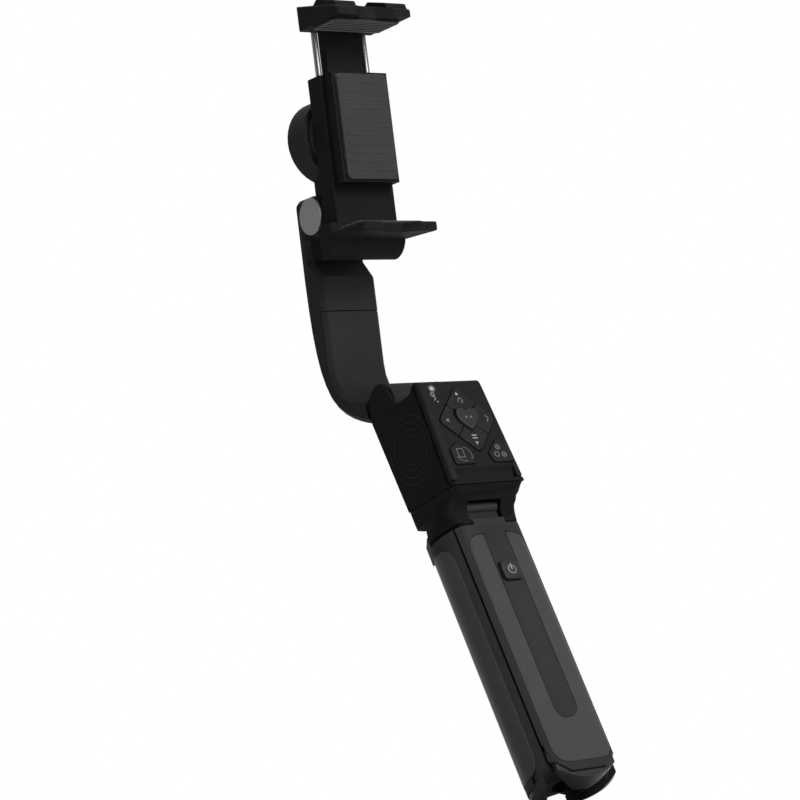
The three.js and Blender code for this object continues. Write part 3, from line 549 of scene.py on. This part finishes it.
def back_screws():
    """Four screws in the corners of the head's back cover, which leans with the back of the head."""
    for k, (x, z) in enumerate(((-8.4, 126), (8.4, 126), (-8.4, 141.8), (8.4, 141.8))):
        point = POLE + Vector((x, COVER["y"] + (z - COVER["z"]) * COVER["slope"], z))
        screw(f"back_screw_{k + 1}", point, (0, 1, -COVER["slope"]), SCREW_R, "head")


def port_tongue():
    """Tongue in the middle of the charging port, with a row of contacts."""
    bm = bmesh.new()
    bar(bm, (9, 13.1), (-4.85, -4.15), (129.3, 135.7))
    new_piece("usb_tongue", bm, GRIP, "head")
    contacts = bmesh.new()
    for k in range(6):
        z = 129.9 + 0.95 * k
        bar(contacts, (9.4, 12.9), (-4.9, -4.8), (z, z + 0.45))
    new_piece("usb_contacts", contacts, STEEL, "head")


def ribs(name, x, y, z, body):
    """Rubber ribs along X on a grip pad, one for each pair of a y range and a z range."""
    bm = bmesh.new()
    for y_range in y:
        for z_range in z:
            bar(bm, x, y_range, z_range)
    obj = new_piece(name, bm, GRIP, body, ARM)
    soften(obj, 0.12)


def grip_ribs():
    """Ribs on the pads of both jaws and of the clamp's back."""
    across = [(-1.2 + 2.0 * k, -0.4 + 2.0 * k) for k in range(6)]
    low = ROLL_Z - PHONE_HALF
    high = ROLL_Z + PHONE_HALF
    ribs("lower_jaw_ribs", (-13.4, 13.4), across, [(low - 0.5, low + 0.1)], "clamp")
    ribs("upper_jaw_ribs", (-13.4, 13.4), across, [(high - 0.1, high + 0.5)], "upper_jaw")
    along = [(ROLL_Z - 16.5 + 3.2 * k, ROLL_Z - 15.5 + 3.2 * k) for k in range(11)]
    ribs("clamp_pad_ribs", (-9.4, 9.4), [(4.95, 5.4)], along, "clamp")


back_screws()
port_tongue()
grip_ribs()

# ---------------------------------------------------------------- signs on the remote and the handle

def triangle(cx, cy, size, degrees):
    return circle(cx, cy, size, 3, degrees)


def arc_arrow(cx, cy, radius, start, sweep, width):
    """Bent arrow: an arc as short strokes with a head at its end."""
    points = circle(cx, cy, radius, 12, start, sweep)
    end = math.radians(start + sweep)
    tip = (cx + radius * math.cos(end), cy + radius * math.sin(end))
    heading = math.degrees(end) + (90 if sweep > 0 else -90)
    return stroke(points, width) + [triangle(*tip, width * 1.6, heading)]


def signs():
    """Generic signs: arrows, dots, a turned frame, rings, a link and a power sign."""
    up = [triangle(0.6, 142.2, 0.75, 90)] + arc_arrow(1.1, 139.6, 0.95, 200, -250, 0.3)
    sign("sign_up", up, KEY_DEPTH, "up_key")
    sign("sign_left", [triangle(-7.4, 132.0, 0.95, 180)], KEY_DEPTH, "left_key", FAINT_INK)
    right = stroke([(9.0, 133.2), (9.9, 132.0), (9.0, 130.8)], 0.35)
    sign("sign_right", right, KEY_DEPTH, "right_key", FAINT_INK)
    down = [triangle(1.0, 122.6, 0.8, -90)] + stroke([(0.1, 125.6), (1.9, 125.6)], 0.4)
    sign("sign_down", down + stroke([(0.1, 124.5), (1.9, 124.5)], 0.4), KEY_DEPTH, "down_key")
    eyes = [circle(0.0, 132.3, 0.42, 14), circle(2.0, 132.3, 0.42, 14)]
    sign("sign_centre", eyes, CENTRE_DEPTH, "centre_button", FAINT_INK)
    frame_sign = stroke([(-8.9, 120.6), (-6.5, 120.6), (-6.5, 117.2), (-8.9, 117.2)], 0.28, True)
    around = arc_arrow(-6.3, 118.2, 2.9, 80, -110, 0.3) + arc_arrow(-6.9, 118.6, 2.9, 200, 80, 0.3)
    sign("sign_mode_left", frame_sign + around, MODE_DEPTH, "left_mode_button", FAINT_INK)
    trio = [(8.6, 120.4, 0.85, 0.3), (7.2, 117.6, 0.9, 0.3), (10.2, 117.4, 0.9, 0.3)]
    dots = [circle(8.6, 120.4, 0.3, 12), circle(10.2, 117.4, 0.35, 12)]
    sign("sign_mode_right", dots, MODE_DEPTH, "right_mode_button", FAINT_INK, rings=trio)
    surround = [(-8.4, 145.1, 1.25, 0.22)]
    sign("light_surround", [], PANEL_DEPTH, "remote", FAINT_INK, rings=surround)
    link = stroke([(-9.2, 142.4), (-8.4, 141.1), (-9.1, 140.4)], 0.26) + [circle(-8.0, 139.8, 0.3, 12)]
    sign("sign_link", link, PANEL_DEPTH, "remote", rings=[(-9.1, 142.7, 0.75, 0.24)])
    power = stroke([(0, 77.3), (0, 79.1)], 0.45) + stroke(circle(0, 77.2, 1.5, 14, 125, 290), 0.42)
    sign("sign_power", power, POWER_DEPTH, "power_button")


signs()

# ---------------------------------------------------------------- camera, light and floor


def area_light(name, at, size, power):
    """Round soft light that faces the middle of the object."""
    data = bpy.data.lights.new(name, "AREA")
    data.shape = "DISK"
    data.size = size
    data.energy = power
    lamp = bpy.data.objects.new(name, data)
    lamp.location = at
    lamp.rotation_euler = (TARGET - at).to_track_quat("-Z", "Y").to_euler()
    bpy.context.scene.collection.objects.link(lamp)


CAMERA_AT = Vector((-0.57785, -0.67496, -0.25281)) + POLE * MM
FORWARD = Vector((0.5867, 0.6943, 0.4168)).normalized()
UP = Vector((0.0359, -0.5365, 0.8432))
RIGHT = FORWARD.cross(UP).normalized()
UP = RIGHT.cross(FORWARD)
TARGET = Vector((0, 0, 0.14)) + POLE * MM


def from_camera(right, up, back):
    """A point round the object, in the camera's directions."""
    return TARGET + RIGHT * right + UP * up - FORWARD * back


def camera():
    data = bpy.data.cameras.new("camera")
    data.sensor_width = 36
    data.lens = 126
    data.clip_start = 0.01
    obj = bpy.data.objects.new("camera", data)
    obj.matrix_world = Matrix.Translation(CAMERA_AT) @ Matrix((RIGHT, UP, -FORWARD)).transposed().to_4x4()
    bpy.context.scene.collection.objects.link(obj)
    bpy.context.scene.camera = obj


def floor():
    """A plain pale floor that is clear from below, as the main view looks up past it."""
    bm = bmesh.new()
    bmesh.ops.create_grid(bm, x_segments=1, y_segments=1, size=3)
    mesh = bpy.data.meshes.new("floor")
    bm.to_mesh(mesh)
    bm.free()
    obj = bpy.data.objects.new("floor", mesh)
    bpy.context.scene.collection.objects.link(obj)
    n = Nodes("floor")
    paper = n.ramp(n.noise(3, 2), [(0.3, (0.80, 0.80, 0.80)), (0.7, (0.84, 0.84, 0.84))])
    n.shader(Base_Color=paper, Roughness=0.9)
    bsdf = n.tree.nodes["Principled BSDF"]
    seen = n.spread(n.add("ShaderNodeLightPath").outputs["Is Camera Ray"], 0.0, 0.4)
    n.put(bsdf, "Emission Color", (1, 1, 1, 1))
    n.put(bsdf, "Emission Strength", seen)
    clear = n.add("ShaderNodeBsdfTransparent")
    side = n.add("ShaderNodeNewGeometry").outputs["Backfacing"]
    mix = n.add("ShaderNodeMixShader")
    link = n.tree.links.new
    link(side, mix.inputs[0])
    link(bsdf.outputs[0], mix.inputs[1])
    link(clear.outputs[0], mix.inputs[2])
    link(mix.outputs[0], n.out.inputs[0])
    mesh.materials.append(n.material)


ROOM = (0.025, 0.6)  # light of the room in front of the object, and of the bright backdrop behind it


def world():
    """White behind the object for the camera; as light, a dim room with a bright backdrop."""
    sky = bpy.data.worlds.new("studio")
    sky.use_nodes = True
    tree = sky.node_tree
    nodes, link = tree.nodes, tree.links.new
    sheet = nodes["Background"]
    room = nodes.new("ShaderNodeBackground")
    path = nodes.new("ShaderNodeLightPath")
    mix = nodes.new("ShaderNodeMixShader")
    coords = nodes.new("ShaderNodeTexCoord")
    dot = nodes.new("ShaderNodeVectorMath")
    dot.operation = "DOT_PRODUCT"
    dot.inputs[1].default_value = FORWARD
    fall = nodes.new("ShaderNodeMapRange")
    fall.interpolation_type = "SMOOTHSTEP"
    for name, value in (("From Min", -0.1), ("From Max", 0.9), ("To Min", ROOM[0]), ("To Max", ROOM[1])):
        fall.inputs[name].default_value = value
    link(coords.outputs["Generated"], dot.inputs[0])
    link(dot.outputs["Value"], fall.inputs["Value"])
    link(fall.outputs["Result"], room.inputs["Strength"])
    link(path.outputs["Is Camera Ray"], mix.inputs[0])
    link(room.outputs[0], mix.inputs[1])
    link(sheet.outputs[0], mix.inputs[2])
    link(mix.outputs[0], nodes["World Output"].inputs[0])
    sheet.inputs["Color"].default_value = (1, 1, 1, 1)
    sheet.inputs["Strength"].default_value = 1.0
    bpy.context.scene.world = sky


camera()
floor()
world()
bpy.context.scene.view_settings.view_transform = "Standard"
area_light("key", from_camera(1.1, 1.5, 1.2), 1.0, 31)
area_light("top", from_camera(-0.4, 1.8, -0.6), 1.0, 12)
area_light("side", from_camera(-1.6, 0.2, 0.2), 1.0, 1.2)
